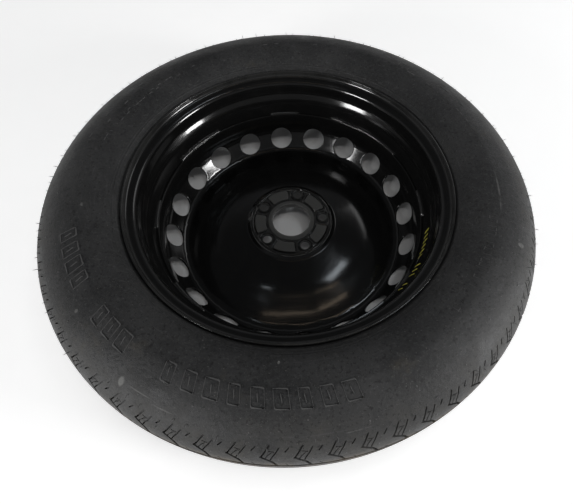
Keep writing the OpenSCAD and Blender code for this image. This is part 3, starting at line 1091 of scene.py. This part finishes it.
def tyre_rubber(name, base=0.032, ridge_highlight=0.0):
    """Matt rubber with mould grain, dull clouds, dust, pale scuffs and wear towards the tread, painted shade
    by the rim's flange and a painted highlight along the tread's edge. The ridge setting lays a lighter tone
    over it all, a painted highlight for raised marks.
    """
    n = Nodes(name)
    radius, angle, _ = n.polar_place()
    cloud = n.noise(9, 6, 0.62)
    rub = n.noise(34, 7, 0.66)
    wear = n.times(n.ramp(radius, 0.318, 0.372), n.ramp(rub, 0.3, 0.72))
    # A brownish band along the tread's outer edge, patchy with the rub noise: a painted highlight
    tread_edge_highlight = n.times(n.ramp(radius, 0.3715, 0.3755), n.ramp(rub, 0.35, 0.6))
    streaks = n.times(n.ramp(n.ring_streaks(radius, angle), 0.56, 0.74), n.ramp(cloud, 0.42, 0.6))
    dirt = n.times(n.ramp(n.noise(14, 6, 0.7), 0.56, 0.72), n.ramp(rub, 0.42, 0.62))
    clouds = n.mix(n.ramp(cloud, 0.33, 0.66), colour(base * 0.6, base * 0.61, base * 0.64),
                   colour(base * 1.3, base * 1.3, base * 1.32))
    tone = n.cover(clouds, [
        # Darker towards the bead: painted shade where the tyre meets the rim's flange
        (n.ramp(radius, 0.248, 0.276, 0.5, 0.0), 1, (base * 0.4,)),
        (n.ramp(n.noise(330, 4, 0.62), 0.35, 0.75), 0.3, (base * 1.9,)),
        (wear, 0.6, (0.075, 0.071, 0.064)),
        (tread_edge_highlight, 0.55, (0.17, 0.135, 0.095)),
        (streaks, 0.22, (0.13,)),
        (n.ramp(n.noise(190, 5, 0.7), 0.52, 0.72), 0.42, (0.09, 0.09, 0.089)),
        (n.ramp(n.noise(230, 4, 0.65), 0.34, 0.46, 0.75, 0.0), 1, (base * 0.35,)),
        (dirt, 0.4, (0.10, 0.088, 0.066)),
        (n.ramp(n.noise(620, 2, 0.5), 0.67, 0.73), 0.6, (0.17, 0.165, 0.155)),
        # Lighter all over by the ridge setting: a painted highlight for the raised marks
        (ridge_highlight, 1, (0.12, 0.12, 0.119)),
        (n.scuffs(radius, angle, rub), 1, (0.26, 0.26, 0.25))])
    skin = n.bump(n.noise(1100, 2, 0.6), 0.0003)
    n.shade(Base_Color=tone, Roughness=n.ramp(rub, 0.2, 0.8, 0.46, 0.66),
            Normal=n.bump(n.noise(120, 5, 0.65), 0.0007, normal=skin), Specular_IOR_Level=0.45)
    return n.material


def plain_metal(name, tint, roughness, scale=900):
    n = Nodes(name)
    marks = n.noise(scale, 4, 0.6, (1, 1, 6))
    n.shade(Base_Color=n.mix(n.ramp(marks, 0.3, 0.7), colour(*tint), colour(*(c * 0.8 for c in tint))),
            Roughness=n.ramp(marks, 0.2, 0.8, roughness * 0.8, roughness * 1.25), Metallic=1.0,
            Normal=n.bump(marks, 0.00002))
    return n.material


def plain_soft(name, tint, roughness, scale=1200):
    n = Nodes(name)
    grain = n.noise(scale, 3, 0.6)
    n.shade(Base_Color=n.mix(n.ramp(grain, 0.3, 0.75), colour(*tint), colour(*(c * 1.3 for c in tint))),
            Roughness=roughness, Normal=n.bump(grain, 0.00004))
    return n.material


def dress_nodes(materials):
    """Gives the CAD nodes that stay in view their own finish."""
    for node, material in materials.items():
        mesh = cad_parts[node].data
        mesh.materials.clear()
        mesh.materials.append(material)


# Room: floor, backdrop, lamps and camera

# The floor's own tone, and the light that the camera sees it give off in the open and, far dimmer as a
# painted shadow, under the wheel
FLOOR_TONE = 0.8
FLOOR_GLOW = 0.62
FLOOR_PAINTED_SHADOW_GLOW = 0.012


def build_floor():
    """A round pale floor that bends up far out into a bowl. The camera sees it white, but for its shadow and
    a painted shadow under the wheel, where its glow fades.
    """
    n = Nodes("pale_floor")
    ray = n.node("ShaderNodeLightPath")
    radius, _, z = n.polar_place()
    glossy = n.times(ray.outputs["Is Glossy Ray"], n.ramp(z, 0.0, 0.9, 1.0, 0.1))
    seen = n.math("MAXIMUM", n.math("MAXIMUM", ray.outputs["Is Camera Ray"], glossy),
                  ray.outputs["Is Transmission Ray"])
    # The glow fades under the wheel: a painted shadow
    glow_with_painted_shadow = n.ramp(radius, 0.27, 0.42, FLOOR_PAINTED_SHADOW_GLOW, FLOOR_GLOW)
    tone = n.ramp(radius, 1.6, 3.2, FLOOR_TONE, 0.35)
    tint = n.mix(n.ramp(n.noise(30, 3, 0.5), 0.3, 0.7), tone, n.times(tone, 0.97))
    n.shade(Base_Color=tint, Roughness=0.9, Specular_IOR_Level=0.0, Emission_Color=colour(1.0),
            Emission_Strength=n.times(seen, glow_with_painted_shadow))
    shape = Shape()
    path = [(0.01, 0), (300, 0), (500, 0), (800, 0), (1400, 0), (2400, 0), (4200, 0), (5200, 100),
            (6000, 400), (6600, 1000), (7000, 2200), (7200, 3600)]
    lathe(shape, [(r, FLOOR_Z + z) for r, z in path], all_round(96))
    floor = shape.build("floor", n.material, sharp=80)


def add_lamp(name, place, target, size, watts, tint=(1, 1, 1)):
    light = bpy.data.lights.new(name, "AREA")
    light.shape = "RECTANGLE"
    light.size, light.size_y = size
    light.energy = watts
    light.color = tint
    lamp = bpy.data.objects.new(name, light)
    lamp.location = place
    lamp.rotation_euler = (Vector(target) - Vector(place)).to_track_quat("-Z", "Y").to_euler()
    bpy.context.scene.collection.objects.link(lamp)
    return lamp


def toward(azimuth, elevation, distance):
    """Place at a distance from the wheel; azimuth 0 is behind it in the photo and 90 is on its right."""
    a, e = math.radians(azimuth), math.radians(elevation)
    return (distance * math.sin(a) * math.cos(e), distance * math.cos(a) * math.cos(e),
            distance * math.sin(e))


def add_tube(name, place, degrees, length, watts, mirrored_watts, tint, image_width=0.04):
    """A ceiling tube as two lamps: a wide one that lights and a thin one that shows in glossy paint."""
    x, y, z = place
    wide = add_lamp(name, place, (x, y, 0), (length, 0.12), watts)
    wide.visible_glossy = False
    thin = add_lamp(name + "_image", (x, y, z - 0.02), (x, y, 0), (length, image_width), mirrored_watts, tint)
    for lamp in (wide, thin):
        lamp.rotation_euler = (0, 0, math.radians(degrees))


def dim_world():
    """A dark ceiling over pale walls."""
    world = bpy.data.worlds.new("dim_room")
    world.use_nodes = True
    tree = world.node_tree
    background = tree.nodes["Background"]
    background.inputs["Color"].default_value = colour(0.95, 0.97, 1.0)
    split = tree.nodes.new("ShaderNodeSeparateXYZ")
    tree.links.new(tree.nodes.new("ShaderNodeTexCoord").outputs["Generated"], split.inputs[0])
    height = tree.nodes.new("ShaderNodeMapRange")
    for key, value in (("From Min", 0.25), ("From Max", 0.75), ("To Min", 0.27), ("To Max", 0.04)):
        height.inputs[key].default_value = value
    tree.links.new(split.outputs["Z"], height.inputs["Value"])
    tree.links.new(height.outputs["Result"], background.inputs["Strength"])
    bpy.context.scene.world = world


def light_scene():
    dim_world()
    centre = (0, 0, 0.03)
    add_lamp("left_window", toward(-130, 18, 3.0), centre, (0.75, 0.75), 36)
    add_lamp("right_window", toward(111, 16, 3.0), centre, (0.7, 0.75), 42)
    add_lamp("far_softbox", toward(48, 34, 2.6), centre, (1.0, 0.8), 2.5)
    # The ceiling tubes shine down through the holes. Their mirror images in the paint are far weaker.
    warm, cool = (1.0, 0.8, 0.6), (0.86, 0.94, 1.0)
    add_tube("tube_near", (-0.12, -0.62, 2.0), 0, 0.96, 3.4, 0.26, warm)
    add_tube("tube_near_right", (0.7, -0.42, 2.0), 30, 0.6, 2.6, 0.26, warm)
    add_tube("tube_diagonal", (0.8, 0.12, 2.0), 58, 0.55, 1.4, 1.6, cool, 0.24)
    add_tube("spot", (-0.53, -0.24, 2.0), 0, 0.14, 0.1, 0.1, cool)


def add_camera():
    """The photo's view: lens, shift and roll from a fit to the wheel's rings."""
    place = Vector((0, -0.39802, 0.62639))
    aim = Vector((0.02627, -0.10282, 0.1045))
    camera = bpy.data.cameras.new("camera")
    camera.sensor_width = 36
    camera.lens = 27.282
    camera.shift_x = -0.04242
    camera.shift_y = -0.01887
    camera.clip_start = 0.01
    obj = bpy.data.objects.new("camera", camera)
    turn = (aim - place).to_track_quat("-Z", "Y").to_matrix() @ Matrix.Rotation(math.radians(1.888), 3, "Z")
    obj.matrix_world = Matrix.Translation(place) @ turn.to_4x4()
    bpy.context.scene.collection.objects.link(obj)
    bpy.context.scene.camera = obj


# Everything together

def build_wheel():
    paint = black_paint("black_paint")
    # The welds take a lighter copy of the black paint, a painted highlight so that the beads show as bright
    # arcs
    weld_highlight_paint = black_paint("weld_highlight_paint", 0.016, 2.0)
    rubber = tyre_rubber("tyre_rubber")
    # The raised marks take a lighter copy of the rubber, a painted highlight
    ridge_highlight_rubber = tyre_rubber("tyre_ridges_highlight", ridge_highlight=0.7)
    pieces = [(build_rim(paint), "rim", "black_paint"), (build_disc(paint), "wheel_disc", "black_paint"),
              (build_welds(weld_highlight_paint), "disc_welds", "painted_weld"),
              (build_paint_strokes(), "rim", "black_paint"),
              (build_tyre(rubber), "tyre", "tyre_rubber"), (build_marks(ridge_highlight_rubber), "tyre", "tyre_rubber")]
    for obj, node, slot in pieces:
        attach(obj, "wheel")
        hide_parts(node)


def dress_valve():
    brass = plain_metal("brass", (0.72, 0.52, 0.22), 0.28)
    rubber = plain_soft("valve_rubber", (0.03, 0.03, 0.03), 0.6)
    dress_nodes({
        "valve_body": rubber, "valve_stem": brass, "valve_core_plug": brass,
        "valve_core_gasket": plain_soft("gasket", (0.5, 0.07, 0.05), 0.5), "valve_core_pin": brass,
        "valve_core_seat": rubber, "valve_core_spring": plain_metal("spring_steel", (0.6, 0.6, 0.62), 0.25),
        "valve_cap": plain_soft("cap_plastic", (0.02, 0.02, 0.021), 0.38), "valve_cap_seal": rubber})


build_wheel()
dress_valve()
build_floor()
light_scene()
add_camera()
bpy.context.scene.view_settings.view_transform = "Standard"
